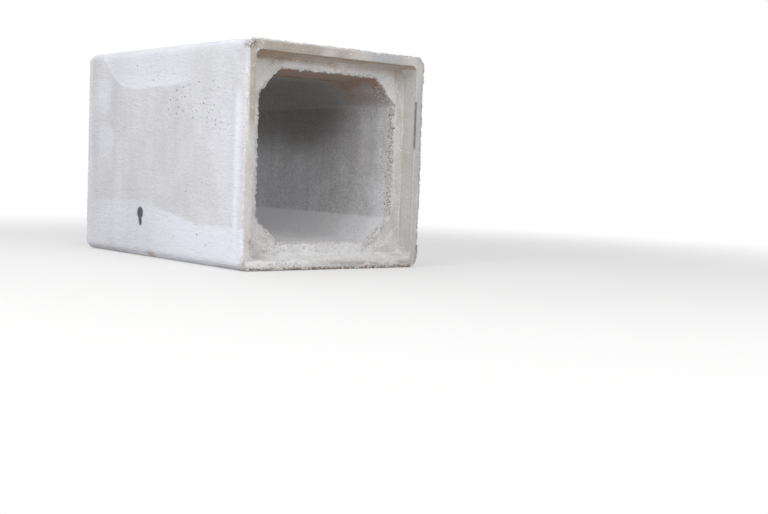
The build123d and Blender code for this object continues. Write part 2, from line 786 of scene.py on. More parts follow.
    @property
    def laitance_and_light(self) -> np.ndarray:
        """Where milky cement skin whitens the casting, and painted light on the floors of the socket and
        waterway.

        Returns:
            Field that is above one half where the skin shows.
        """
        sizes, x, y, z = self.sizes, self.x, self.y, self.z
        other = 0.8 * eased(self.clouds(42, 420, 3), 0.42, 0.75)
        other = other * (1 - 0.7 * (self.behind < 2) * (self.inset > 30))
        other = np.where(self.on_bore & (self.behind > 0), self.skin_and_light_in_bore(), other)
        at_lip = (self.past_end < 30) * eased(z, sizes.lip_thickness + 4, sizes.lip_thickness - 10)
        low_lip = at_lip * eased(x, -60, -260) * eased(x, 6 - sizes.half, 30 - sizes.half)
        # Painted light: the upward socket floor is drawn paler, as light from above would make it.
        socket_floor_highlight = eased(self.past_end, 3, 8) * (self.behind < 2) * eased(z, 89, 82)
        socket_floor_highlight = socket_floor_highlight * (self.inset > 50) * eased(np.abs(x), 520, 400)
        other = np.max([other, 0.5 * self.low_ring(120), 0.95 * low_lip, 0.55 * socket_floor_highlight], axis=0)
        on_left = eased(x, 22 - sizes.half, 8 - sizes.half)
        top_chamfer = eased(z, sizes.outside - 34, sizes.outside - 22) * (x < 44 - sizes.half)
        top_chamfer = 0.5 * top_chamfer * eased(self.past_end, 20, 60)
        return np.maximum(on_left * self.skin_on_left() + (1 - on_left) * other, top_chamfer)

    def skin_on_left(self) -> np.ndarray:
        """Give the milky skin of the left side: a scallop under the top, bands, blotches and a low tide line.

        Returns:
            Field that is above one half where the skin shows.
        """
        y, z = self.y, self.z
        drift = 60 * (self.clouds(41, 160, 3) - 0.5)
        wavy = 14 * (self.clouds(43, 70, 2) - 0.5)
        foot = 982 + 190 * (np.maximum(y - 300, 0) / 363) ** 2 + 0.11 * np.maximum(-185 - y, 0)
        scallop = eased(z - foot + wavy, -7, 9) * (0.3 + 0.36 * eased(y, -520, -160))
        scallop = scallop * (0.8 + 0.2 * eased(z, 1080, 1000)) * eased(y, -900, -760)
        near_band = 0.82 * bump_at(self.past_end + drift * 0.4, 80, 56) * eased(z + drift, 1080, 860)
        bulge = np.clip(1 - ((z - 680 + wavy) / 150) ** 2, 0, 1)
        blotch = eased(y - 655 + 145 * np.sqrt(bulge), -12, 20) * eased(bulge, 0, 0.75)
        blotch = 0.46 * blotch * eased(y, 860, 620)
        upper_blotch = 0.5 * eased(y, 500, 620) * eased(y, 880, 700) * bump_at(z + drift, 950, 150)
        far_band = 0.525 * bump_at(y + drift, 840, 70)
        tide_line = 338 - 110 * eased(y, 300, -640) + wavy
        low = eased(tide_line - z, -6, 10 + 0.04 * np.maximum(y, 0))
        low = 0.72 * low * (0.58 + 0.42 * eased(y, 200, -400))
        near_side = 0.3 * eased(y + drift, 0, -650)
        return np.max([scallop, near_band, blotch, upper_blotch, far_band, low, near_side], axis=0)

    def skin_and_light_in_bore(self) -> np.ndarray:
        """Give the pale dust on the waterway's floor, low walls and honeycomb, with painted light deep on the
        floor.

        Returns:
            Field that is above one half where the dust is thick.
        """
        sizes, z = self.sizes, self.z
        floor_top = sizes.half - sizes.haunch_foot
        # Dust on the floor, paler deeper in as painted light where less light reaches.
        floor = (0.56 + 0.2 * eased(self.behind, 300, 900)) * eased(z, floor_top + 8, floor_top - 8)
        low_wall = 0.22 * eased(self.height, 0, floor_top + 100 - sizes.half)
        below_haunch = eased(self.height, sizes.haunch_foot + 40, sizes.haunch_foot)
        crumbs = (0.15 + 0.7 * eased(z, 420, 260)) * self.honeycombed * below_haunch
        return np.maximum(np.maximum(floor, low_wall) * self.on_bore * eased(self.behind, 0, 30), crumbs)

    @property
    def stain_and_shade(self) -> np.ndarray:
        """Where clay and rust have browned the concrete, with painted shade under the socket's upper lip.

        Returns:
            Field that is above one half where the stain shows.
        """
        sizes, x, z, height = self.sizes, self.x, self.z, self.height
        mouth, half_bore, haunch_foot = sizes.mouth, sizes.half_bore, sizes.haunch_foot
        patchy = self.clouds(51, 90, 3)
        in_socket = eased(self.behind, 4, -6)
        top_lip = bump_at(self.past_end, 0, 12) * eased(height, mouth - 4, mouth + 4)
        to_corner = np.hypot(x + sizes.half, z - sizes.outside)
        top_lip = 0.9 * top_lip * (0.25 + 0.75 * eased(x, 330, -200)) * eased(to_corner, 30, 70)
        top_lip = top_lip * eased(sizes.outside - z, 5, 17)
        left_lip = 0.765 * eased(x, 10 - mouth, -6 - mouth) * in_socket * eased(height, -120, 260)
        left_lip = left_lip * eased(self.inset, 10, 26)
        right_lip = 0.95 * bump_at(self.past_end, 0, 12) * bump_at(x, sizes.half - 8, 15)
        right_lip = right_lip * eased(z, 760, 380)
        runs = self.clouds(53, 30, 2, (1, 1, 0.15))
        below_ceiling = 0.52 * eased(height + 60 * runs, mouth - 90, mouth + 20)
        rusty = 0.4 * eased(height, mouth - 52, mouth - 24) * eased(-x, -100, 300)
        seat_corner = 0.25 * bump_at(x, mouth - 24, 7)
        webs = 0.24 * eased(self.past_web, -2, 4) * eased(height, 0, -200)
        crease = 0.22 * bump_at(self.past_web, -2, 4) * self.web_stands
        seat = self.on_seat * (below_ceiling + rusty + seat_corner + webs + crease)
        right_runs = eased(self.clouds(54, 22, 2, (1, 0.5, 0.1)), 0.45, 0.7) * eased(self.inset, 58, 66)
        right_runs = right_runs * (self.behind < 3) * (x > half_bore) * eased(height, -mouth, 100)
        right_runs = (0.25 + 0.3 * self.on_seat) * right_runs
        near_rim = 420 + 60 * eased(x, -200, 250)
        near_rim = eased(self.behind + 160 * (patchy - 0.5), near_rim + 100, near_rim - 160)
        ceiling = 0.9 * eased(height, half_bore - 90, half_bore - 10)
        haunches = 0.6 * eased(height, haunch_foot - 20, haunch_foot + 60) * (x > 0)
        pocked = 0.32 * self.honeycombed * eased(height, haunch_foot, half_bore - 60)
        overhead = (0.3 + 0.7 * near_rim) * np.maximum(ceiling, haunches) + pocked
        overhead = overhead * self.on_bore * eased(self.behind, 6, 30)
        spots = np.clip(top_lip + left_lip + right_lip + seat + right_runs + overhead, 0, 1)
        return np.maximum(spots * (0.45 + 0.9 * patchy), self.socket_ceiling_stain_and_shade() * in_socket)

    def socket_ceiling_stain_and_shade(self) -> np.ndarray:
        """Give the rust under the upper lip, with painted shade in a darker band near the mouth.

        Returns:
            Field that is above one half where the stain shows.
        """
        mouth = self.sizes.mouth
        under_mouth = eased(self.height, mouth - 26, mouth - 14) * eased(self.height, mouth + 6, mouth)
        ceiling = under_mouth * eased(self.past_end, 0, 6) * (np.abs(self.x) < mouth)
        ceiling = ceiling * (0.55 + 0.5 * self.clouds(52, 16, 2, (0.2, 1, 1)))
        # Painted shade: a darker band near the mouth, under the lip's rounded edge.
        ceiling = ceiling * (1 + 0.6 * bump_at(self.past_end, 8, 14))
        return 0.78 * ceiling * (1 + 0.4 * eased(-self.x, 0, 400))

    @property
    def clay_and_shade(self) -> np.ndarray:
        """Where reddish clay from the yard sticks to the edges, with painted shade along the bottom edge.

        Returns:
            Field that is above one half where the clay is thick.
        """
        sizes, z = self.sizes, self.z
        patchy = self.clouds(58, 45, 3)
        # Clay along the bottom edge, which also stands for shade there: painted shade.
        foot = 1.6 * bump_at(z, 0, 7 + 10 * patchy)
        outer_right = 1.05 * bump_at(self.x, sizes.half, 13) * eased(z, 850, 450)
        chamfer_spot = 0.8 * bump_at(self.y, 36, 60) * bump_at(z, 20, 24) * (self.x < 0)
        in_haunch = eased(self.height, sizes.haunch_foot, sizes.haunch_foot + 30)
        honeycomb = 0.22 * self.honeycombed * in_haunch * eased(self.behind, 4, 20)
        clay_and_shade = (foot + outer_right) * eased(self.behind, 0, -30) + chamfer_spot + honeycomb
        return clay_and_shade * (0.3 + 1.2 * patchy)

    @property
    def damp_and_shade(self) -> np.ndarray:
        """Where the concrete is greyer and darker, from damp, dust and mould, and from painted shade.

        Returns:
            Share from 0 to 1: high overhead in the waterway, low in blotches on the lip and the left side.
        """
        sizes, x, z, height = self.sizes, self.x, self.z, self.height
        half, mouth, haunch_foot = sizes.half, sizes.mouth, sizes.haunch_foot
        drift = 90 * (self.clouds(56, 150, 3) - 0.5)
        # Painted shade: darker deeper into the waterway, and less dark overhead near the front right, where
        # light comes in.
        deep = eased(self.behind, 100, 800)
        near_right = eased(x, -50, 350) * (1 - deep)
        overhead = eased(height, haunch_foot - 20, haunch_foot + 20) * (1 - 0.45 * near_right)
        wall_top = eased(height + 0.7 * drift, -140, 300) * (0.1 + 0.9 * deep)
        inside = np.maximum(overhead, wall_top) + 0.08 * bump_at(z + 0.1 * drift, 787, 6)
        inside = inside * self.on_bore * eased(self.behind, 0, 40)
        inside = inside * eased(self.y, sizes.shoulder, sizes.shoulder - 160)
        corner = 0.55 * bump_at(self.y, -900, 70) * bump_at(z + 0.5 * drift, 1125, 48) * (x < 20 - half)
        corner = corner + 0.9 * self.near_point(self.top_left, 48)
        right_wall = 0.45 * (self.behind < -4) * eased(self.past_end, 4, 9)
        right_wall = right_wall * eased(x, mouth - 26, mouth - 20) * (x < mouth + 2)
        # Painted shade on the seat: its upper corners under the lip, and its right part beside the socket
        # wall.
        to_left, to_right = eased(-x, 230, 430), eased(x, 100, 400)
        in_shade = eased(height, 260, 480) * (0.38 * to_left + 0.42 * to_right)
        in_shade = self.on_seat * (in_shade + 0.24 * eased(x, mouth - 90, mouth - 60))
        return np.clip(inside + corner + right_wall + in_shade + self.lip_dust_and_shade(), 0, 1)

    def lip_dust_and_shade(self) -> np.ndarray:
        """Give the grey blotches on the struck lip, and painted shade along the mouth's right edge.

        Returns:
            Share from 0 to 1.
        """
        sizes, x, height = self.sizes, self.x, self.height
        half, mouth = sizes.half, sizes.mouth
        top = 0.85 * eased(height, mouth - 6, mouth + 6) * eased(x, 0, 300)
        top = top * eased(self.inset, 3, 13) * (1 - 0.75 * eased(x, 400, 540))
        right = eased(x, mouth - 2, mouth + 6) * (0.66 - 0.1 * eased(height, -100, -350))
        right = right * (1 - 0.7 * eased(x, half - 16, half - 4)) * (1 - 0.4 * eased(height, 400, 540))
        # Painted shade along the mouth's rounded right edge, where the lamps would light it.
        right = right + 0.5 * bump_at(x, mouth, 7)
        low_left = 0.04 * eased(height, 64 - half, 54 - half) * eased(x, -100, -300)
        left = 0.34 * eased(x, 8 - mouth, -mouth) * eased(height, 240, 40)
        dust = np.max([top, right, low_left, left], axis=0) * bump_at(self.past_end, 0, 12)
        bottom = 0.9 * bump_at(self.past_end, 0, 8) * bump_at(height, 34 - half, 14)
        bottom = bottom * eased(x, -360, -160) * eased(self.clouds(57, 60, 3), 0.35, 0.6)
        return np.maximum(dust, bottom)

    @property
    def ink(self) -> np.ndarray:
        """The plain dab of paint on the left side, with its drip, and the rub mark inside the right lip.

        Returns:
            Field that is above 0 inside a mark.
        """
        y, z = self.y, self.z
        dab_radius, drip_width, drip_height = 44, 24, 34
        dab = 1 - np.hypot(y - 156, z - 257) / dab_radius
        drip = 1 - np.hypot((y - 151) / drip_width, (z - 208) / drip_height)
        painted = np.where(self.x < 10 - self.sizes.half, np.maximum(dab, drip), -1)
        beside = np.hypot((self.x - self.sizes.mouth) / 9, (self.past_end - 3) / 10)
        rub = np.minimum(1 - beside, 3 - np.abs(z - 823) / 48)
        return np.maximum(painted, np.minimum(rub, 0.26))

    @property
    def crumbly(self) -> np.ndarray:
        """Where loose grit and crumbs stand on the surface.

        Returns:
            Share from 0 to 1.
        """
        haunch_foot = self.sizes.haunch_foot
        edges = (self.lip_wear(14) + 0.5 * self.rim_wear(15)) * eased(self.broken_away, 0, 2)
        honeycomb = self.honeycombed * (1 - 0.7 * eased(self.height, haunch_foot - 10, haunch_foot + 60))
        corner = 0.15 * self.near_point(self.top_left, 42)
        return np.clip(edges + corner + 0.16 * self.low_ring(130) + honeycomb, 0, 1)

    @property
    def broken(self) -> np.ndarray:
        """Where broken stones as large as peas and beans stand in the ragged edges.

        Returns:
            Share from 0 to 1.
        """
        sizes = self.sizes
        edges = 0.7 * self.rim_wear(10) + 0.6 * self.lip_wear(10) + 0.1 * self.near_point(self.top_left, 45)
        pocked = 0.3 * self.honeycombed * eased(self.height, sizes.half_bore, sizes.haunch_foot)
        open_lip = 0.65 * bump_at(self.past_end, 0, 6) * bump_at(self.z, 30, 22)
        open_lip = open_lip * bump_at(self.x, *self.OPEN_LIP)
        return np.clip(edges + pocked + 0.15 * self.low_ring(120) + open_lip, 0, 1)


@dataclass(frozen=True)
class Trail:
    """Line on the left side that air holes keep to: its points, along and up, and how far they stray."""

    points: tuple[tuple[float, float], ...]
    stray: float

    def near(self, grid: np.ndarray) -> np.ndarray:
        """Tell which places lie by the line.

        Args:
            grid: points in millimetres.

        Returns:
            True by the line, and False elsewhere.
        """
        y, z = grid[..., 1], grid[..., 2]
        nearest = np.full(y.shape, np.inf)
        for (from_y, from_z), (to_y, to_z) in zip(self.points, self.points[1:]):
            run, rise = to_y - from_y, to_z - from_z
            share = np.clip(((y - from_y) * run + (z - from_z) * rise) / (run * run + rise * rise), 0.0, 1.0)
            nearest = np.minimum(nearest, np.hypot(y - from_y - share * run, z - from_z - share * rise))
        return (nearest < self.stray) & (grid[..., 0] < grid[..., 0].min() + 12.0)


@dataclass(frozen=True)
class BugHoles:
    """Round holes that trapped air left against the forms."""

    count: int
    smallest: float
    largest: float
    zones: tuple[Zone, ...]
    seed: int
    trail: Trail | None = None


@dataclass
class CastBlock:
    """One length of the casting, as a closed ring of fine mesh."""

    name: str
    start: Station
    spans: list[Span]
    per_side: int
    per_corner: int
    bug_holes: list[BugHoles]
    seams: tuple[Seam, ...]
    finer_rows: tuple[int, ...] = ()

    RING = ((0, 0), (0, 1), (0, 2), (1, 2), (2, 2), (2, 1), (2, 0), (1, 0))
    LEAST_REACH = 0.72
    BOWL_WIDTH = 0.7
    BOWL_DEPTH = 0.75
    # Painted shade inside each bug hole, and a little at its mouth.
    HOLE_SHADE = 2.0
    MOUTH_SHADE = 0.15
    SOUND_CAVITY = 0.02
    HOLE_ROOM = 0.8
    SHARP_ANGLE = 48.0

    def sweep(self, centre_height: float) -> tuple[np.ndarray, np.ndarray, np.ndarray]:
        """Lay the rows of points from the first station to the last.

        Args:
            centre_height: height of the barrel's axis.

        Returns:
            The points in millimetres, by row and place round the outline, each row's zone, and whether the
            strip after each row but the last can be seen.
        """
        rows = []
        zones = []
        seen = []
        here = self.start
        for span in self.spans:
            first = self.row(here, centre_height)
            last = self.row(span.end, centre_height)
            bend = self.row(span.bend, centre_height) if span.bend else (first + last) / 2
            for step in range(span.rows):
                share = step / span.rows
                rows.append((1 - share) ** 2 * first + 2 * share * (1 - share) * bend + share**2 * last)
                zones.append(span.zone)
                seen.append(not span.hidden)
            here = span.end
        rows.append(self.row(here, centre_height))
        zones.append(zones[-1])
        return np.array(rows), np.array(zones), np.array(seen)

    def outward(self, grid: np.ndarray, seen: np.ndarray) -> np.ndarray:
        """Give the direction out of the concrete at each point.

        Args:
            grid: points in millimetres.
            seen: whether the strip after each row but the last can be seen.

        Returns:
            Directions of length 1.
        """
        steps = np.diff(grid, axis=0)
        steps /= np.linalg.norm(steps, axis=-1, keepdims=True)
        steps *= seen[:, None, None]
        along = np.zeros(grid.shape)
        along[:-1] += steps
        along[1:] += steps
        turns = np.roll(grid, -1, axis=1) - grid
        turns /= np.linalg.norm(turns, axis=-1, keepdims=True)
        outward = np.cross(turns + np.roll(turns, 1, axis=1), along)
        return outward / np.linalg.norm(outward, axis=-1, keepdims=True)

    def row(self, station: Station, centre_height: float) -> np.ndarray:
        """Points of one station, in millimetres."""
        flat = station.outline.points(self.per_side, self.per_corner)
        return np.column_stack([flat[:, 0], np.full(len(flat), station.y), flat[:, 1] + centre_height])

    def build(self, sizes: SectionSizes) -> bpy.types.Object:
        """Make the block's mesh, worn by the weather.

        Args:
            sizes: sizes of the whole casting.

        Returns:
            The finished object, in metres.
        """
        grid, row_zone, seen = self.sweep(sizes.centre_height)
        zone = np.repeat(row_zone[:, None], grid.shape[1], axis=1)
        outward = self.outward(grid, seen)
        weathering = Weathering.over(sizes, grid, self.seams)
        moved = grid - outward * weathering.depth(zone)[..., None] + weathering.set_back()
        for row in self.finer_rows:
            moved[row, 1::2] = (moved[row, 0::2] + np.roll(moved[row, 0::2], -1, axis=0)) / 2
        marks = {mark: getattr(weathering, mark.value) for mark in Mark}
        return self.mesh_of(moved, outward, zone, marks)

    def mesh_of(
        self, grid: np.ndarray, outward: np.ndarray, zone: np.ndarray, marks: dict[Mark, np.ndarray]
    ) -> bpy.types.Object:
        """Turn the worn grid into a mesh, with its bug holes cut.

        Args:
            grid: worn points in millimetres.
            outward: direction out of the concrete at each point.
            zone: zone of each point.
            marks: values for the materials at each point.

        Returns:
            The object, in metres.
        """
        rows, around = zone.shape
        index = np.arange(rows * around).reshape(rows, around)
        uncut = np.ones((rows, around), bool)
        points = [grid.reshape(-1, 3)]
        values = {mark: [value.reshape(-1)] for mark, value in marks.items()}
        faces = []
        face_zones = []
        added = rows * around
        for row, column, radius, random in self.hole_places(grid, zone, marks[Mark.CAVITY_SHADE_AND_LINES]):
            block = (slice(row, row + 2), slice(column, column + 2))
            if not uncut[block].all():
                continue
            uncut[block] = False
            ring = [index[row + down, column + over] for down, over in self.RING]
            centre = grid[row + 1, column + 1]
            away = np.array([points[0][corner] - centre for corner in ring])
            away /= np.linalg.norm(away, axis=1, keepdims=True)
            reach = away * radius * random.uniform(self.LEAST_REACH, 1.0, (len(ring), 1))
            inward = -outward[row + 1, column + 1] * radius
            bowl = centre + reach * self.BOWL_WIDTH + inward * self.BOWL_DEPTH
            points.append(np.vstack([centre + reach, bowl, centre + inward]))
            for mark, value in marks.items():
                inside = np.full(2 * len(ring) + 1, value[row + 1, column + 1])
                # Bug holes get painted shade: dark inside, a little at the mouth.
                if mark is Mark.CAVITY_SHADE_AND_LINES:
                    inside[:] = self.HOLE_SHADE
                    inside[: len(ring)] = self.MOUTH_SHADE
                values[mark].append(inside)
            for step in range(len(ring)):
                after = (step + 1) % len(ring)
                outer = (added + step, added + after)
                inner = (added + len(ring) + step, added + len(ring) + after)
                faces.append((ring[step], ring[after], outer[1], outer[0]))
                faces.append((outer[0], outer[1], inner[1], inner[0]))
                faces.append((inner[0], inner[1], added + 2 * len(ring)))
            face_zones += [zone[row + 1, column + 1]] * (3 * len(ring))
            added += 2 * len(ring) + 1
        quad_rows, quad_columns = np.nonzero(uncut)
        next_rows = (quad_rows + 1) % rows
        next_columns = (quad_columns + 1) % around
        round_rows = (quad_rows, quad_rows, next_rows, next_rows)
        round_columns = (quad_columns, next_columns, next_columns, quad_columns)
        quads = np.column_stack([index[corner] for corner in zip(round_rows, round_columns)])
        mesh = bpy.data.meshes.new(self.name)
        mesh.from_pydata((np.vstack(points) * MM).tolist(), [], quads.tolist() + faces)
        all_zones = np.concatenate([zone[quad_rows, 0], face_zones]).astype(np.int32)
        mesh.polygons.foreach_set("material_index", all_zones)
        mesh.polygons.foreach_set("use_smooth", np.ones(len(mesh.polygons), bool))
        for mark, parts in values.items():
            layer = mesh.attributes.new(mark.value, "FLOAT", "POINT")
            layer.data.foreach_set("value", np.concatenate(parts).astype(np.float32))
        mesh.set_sharp_from_angle(angle=math.radians(self.SHARP_ANGLE))
        mesh.update()
        return linked(self.name, mesh)

    def hole_places(
        self, grid: np.ndarray, zone: np.ndarray, cavity_shade_and_lines: np.ndarray
    ) -> Iterator[tuple[int, int, float, np.random.Generator]]:
        """Choose where the bug holes go.

        Args:
            grid: worn points in millimetres.
            zone: zone of each point.
            cavity_shade_and_lines: how crumbled each point is.

        Yields:
            Row, column, radius and the random generator that shapes the hole.
        """
        for group in self.bug_holes:
            random = np.random.default_rng(group.seed)
            fits = np.isin(zone, [int(name) for name in group.zones]) & (cavity_shade_and_lines < self.SOUND_CAVITY)
            fits[:3] = False
            fits[-4:] = False
            fits[:, -3:] = False
            if group.trail:
                fits &= group.trail.near(grid)
            row_list, column_list = np.nonzero(fits)
            for pick in random.choice(len(row_list), size=group.count, replace=False):
                row, column = row_list[pick], column_list[pick]
                if zone[row + 2, column] != zone[row, column]:
                    continue
                beside = [grid[row + down, column + over] for down, over in self.RING[1::2]]
                room = min(np.linalg.norm(beside - grid[row + 1, column + 1], axis=1))
                wanted = group.smallest + (group.largest - group.smallest) * random.random() ** 2
                yield row, column, min(wanted, self.HOLE_ROOM * room), random


@dataclass
class Casting:
    """The whole section, cut into three blocks that meet inside the barrel's walls."""

    sizes: SectionSizes
    fine_side: int = 176
    fine_corner: int = 40
    lip_ease: float = 3.0
    mouth_ease: float = 4.0
    rim_radius: float = 12.0
    broken_rim_radius: float = 5.0
    seat_cove: float = 5.0
    tongue_edge: float = 7.0
    tongue_root: float = 12.0
    front_band: float = 150.0
    front_fine_band: float = 42.0
    front_bore_band: float = 138.0
    back_band: float = 100.0
    back_bore_band: float = 84.0

    @property
    def seams(self) -> tuple[Seam, ...]:
        """Seams between the blocks.

        Returns:
            The seams outside and in the waterway near the socket end, and then those near the tongue end.
        """
        sizes = self.sizes
        return (
            Seam(sizes.socket_end + self.front_band, on_outside=True),
            Seam(sizes.seat + self.rim_radius + self.front_bore_band, on_outside=False),
            Seam(sizes.shoulder - self.back_band, on_outside=True),
            Seam(sizes.tongue_end - self.rim_radius - self.back_bore_band, on_outside=False),
        )

    def socket_block(self) -> CastBlock:
        """Lay out the socket end: the outside, the struck lip, the socket, its seat and the rim.

        Returns:
            The block, not built yet.
        """
        sizes = self.sizes
        end, seat = sizes.socket_end, sizes.seat
        front_outside, front_bore, _, _ = (seam.y for seam in self.seams)
        outer, waterway, mouth = sizes.outer, sizes.waterway, sizes.socket(0)
        cove_depth = sizes.socket_depth - self.seat_cove
        deep = sizes.socket(sizes.socket_depth)
        inside_mouth = Station(sizes.socket(self.mouth_ease), end + self.mouth_ease)
        spans = [
            Span(Station(outer, end + self.front_fine_band), 8, Zone.OUTSIDE),
            Span(Station(outer, end + self.lip_ease), 10, Zone.OUTSIDE),
            Span(Station(outer.grown(-self.lip_ease), end), 3, Zone.LIP, Station(outer, end)),
            Span(Station(mouth.grown(self.mouth_ease), end), 13, Zone.LIP),
            Span(inside_mouth, 3, Zone.LIP, Station(mouth, end)),
            Span(Station(sizes.socket(cove_depth), seat - self.seat_cove), 12, Zone.SOCKET),
            Span(Station(deep.grown(-self.seat_cove), seat), 3, Zone.SOCKET, Station(deep, seat)),
            Span(Station(waterway.grown(self.broken_rim_radius), seat), 14, Zone.SOCKET),
            Span(Station(waterway, seat + self.broken_rim_radius), 5, Zone.BORE, Station(waterway, seat)),
            Span(Station(waterway, front_bore), 32, Zone.BORE),
        ]
        holes = [
            BugHoles(60, 1.2, 2.8, (Zone.OUTSIDE, Zone.SOCKET), 61),
            BugHoles(70, 1.2, 2.6, (Zone.BORE,), 62),
            BugHoles(90, 1.4, 2.8, (Zone.LIP, Zone.SOCKET), 66),
        ]
        return self.block("socket_end", Station(outer, front_outside), spans, holes)

    def barrel_block(self) -> CastBlock:
        """Lay out the barrel between the two ends, half as fine as they are.

        Returns:
            The block, not built yet.
        """
        sizes = self.sizes
        front_outside, front_bore, back_outside, back_bore = (seam.y for seam in self.seams)
        spans = [
            Span(Station(sizes.outer, front_outside), 86, Zone.OUTSIDE),
            Span(Station(sizes.waterway, front_bore), 1, Zone.OUTSIDE, hidden=True),
            Span(Station(sizes.waterway, back_bore), 86, Zone.BORE),
        ]
        under_top = Trail(((-219, 975), (-403, 1007), (-642, 1020), (-810, 1027)), 10)
        upper_side = Trail(((-260, 900), (-800, 850)), 120)
        middle_side = Trail(((-420, 800), (-800, 790)), 12)
        holes = [
            BugHoles(200, 2.2, 7.0, (Zone.OUTSIDE,), 63),
            BugHoles(30, 4.4, 8.5, (Zone.OUTSIDE,), 67, under_top),
            BugHoles(80, 3.2, 7.5, (Zone.OUTSIDE,), 68, upper_side),
            BugHoles(16, 3.8, 7.0, (Zone.OUTSIDE,), 69, middle_side),
            BugHoles(170, 1.6, 5.0, (Zone.BORE,), 64),
            BugHoles(90, 4.6, 5.8, (Zone.BORE,), 70),
        ]
        return self.block("barrel", Station(sizes.outer, back_outside), spans, holes, coarser=2)

    def tongue_block(self) -> CastBlock:
        """Lay out the tongue end: the rim, the tongue's face and flank, its root and the shoulder.

        Returns:
            The block, not built yet.
        """
        sizes = self.sizes
        end, shoulder = sizes.tongue_end, sizes.shoulder
        _, _, back_outside, back_bore = (seam.y for seam in self.seams)
        outer, waterway = sizes.outer, sizes.waterway
        tip, root = sizes.tongue(end), sizes.tongue(shoulder)
        edge_y = end - self.tongue_edge
        root_y = shoulder + self.tongue_root
        spans = [
            Span(Station(waterway, end - self.rim_radius), 14, Zone.BORE),
            Span(Station(waterway.grown(self.rim_radius), end), 5, Zone.TONGUE, Station(waterway, end)),
            Span(Station(tip.grown(-self.tongue_edge), end), 9, Zone.TONGUE),
            Span(Station(sizes.tongue(edge_y), edge_y), 4, Zone.TONGUE, Station(tip, end)),
            Span(Station(sizes.tongue(root_y), root_y), 11, Zone.TONGUE),
            Span(Station(root.grown(self.tongue_root), shoulder), 4, Zone.TONGUE, Station(root, shoulder)),
            Span(Station(outer.grown(-self.lip_ease), shoulder), 9, Zone.TONGUE),
            Span(Station(outer, shoulder - self.lip_ease), 3, Zone.TONGUE, Station(outer, shoulder)),
            Span(Station(outer, back_outside), 12, Zone.OUTSIDE),
        ]
        holes = [BugHoles(90, 1.2, 3.0, (Zone.OUTSIDE, Zone.TONGUE, Zone.BORE), 65)]
        return self.block("tongue_end", Station(waterway, back_bore), spans, holes)

    def block(
        self, name: str, start: Station, spans: list[Span], holes: list[BugHoles], coarser: int = 1
    ) -> CastBlock:
        """Make a block of the casting's fineness.

        Args:
            name: name of the piece.
            start: first station of its ring.
            spans: strips from there round to the start again.
            holes: bug holes to cut.
            coarser: how many times fewer points it has round the outline. The outermost rows of a finer
                block follow those of the coarser block beside them.

        Returns:
            The block, not built yet.
        """
        ends = () if coarser > 1 else (0, -1)
        fineness = (self.fine_side // coarser, self.fine_corner // coarser)
        return CastBlock(name, start, spans, *fineness, holes, self.seams, finer_rows=ends)

    def build(self, finishes: list[bpy.types.Material]) -> list[bpy.types.Object]:
        """Build the three blocks, dress them and put them on the CAD body.

        Args:
            finishes: one material for each zone, in the order of Zone.

        Returns:
            The three objects.
        """
        pieces = []
        for block in (self.socket_block(), self.barrel_block(), self.tongue_block()):
            piece = block.build(self.sizes)
            for finish in finishes:
                piece.data.materials.append(finish)
            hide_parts(CAD_NODE)
            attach(piece, BODY)
            triangles = sum(len(face.vertices) - 2 for face in piece.data.polygons)
            LOG.info("%s: %d triangles", piece.name, triangles)
            pieces.append(piece)
        return pieces


def linear(colour: str) -> tuple[float, float, float, float]:
    """Turn an sRGB hex colour into linear red, green, blue and alpha.

    Args:
        colour: six hex digits, after a number sign.

    Returns:
        The linear colour.
    """
    parts = [int(colour[start : start + 2], 16) / 255 for start in (1, 3, 5)]
    parts = [part / 12.92 if part <= 0.04045 else ((part + 0.055) / 1.055) ** 2.4 for part in parts]
    return *parts, 1.0


def linked(name: str, data: bpy.types.ID) -> bpy.types.Object:
    """Put new data in the scene.

    Args:
        name: name of the object.
        data: its mesh, camera or lamp.

    Returns:
        The object.
    """
    made = bpy.data.objects.new(name, data)
    bpy.context.scene.collection.objects.link(made)
    return made


def posed(right: np.ndarray, up: np.ndarray, back: np.ndarray, place: tuple[float, float, float]) -> Matrix:
    """Pose of a camera or lamp, from the directions of its own axes and its place."""
    return Matrix(np.vstack([np.column_stack([right, up, back, place]), [0, 0, 0, 1]]).tolist())


def cleared(owner: bpy.types.Material | bpy.types.World) -> bpy.types.NodeTree:
    """Give a material or a world an empty node tree.

    Args:
        owner: the material or world.

    Returns:
        Its node tree.
    """
    owner.use_nodes = True
    owner.node_tree.nodes.clear()
    return owner.node_tree


def add(tree: bpy.types.NodeTree, kind: str, inputs: dict | None = None, **settings) -> bpy.types.Node:
    """Add a node with its settings, values and links.

    Args:
        tree: node tree that gets the node.
        kind: Blender's name of the node type.
        inputs: value, output socket or node for each input, by name or number. A node stands for its first
            output that is in use.
        settings: the node's own properties.

    Returns:
        The new node.
    """
    node = tree.nodes.new(kind)
    for name, value in settings.items():
        setattr(node, name, value)
    for name, value in (inputs or {}).items():
        if isinstance(value, bpy.types.Node):
            value = next(socket for socket in value.outputs if socket.enabled)
        if isinstance(value, bpy.types.NodeSocket):
            tree.links.new(value, node.inputs[name])
        else:
            node.inputs[name].default_value = value
    return node


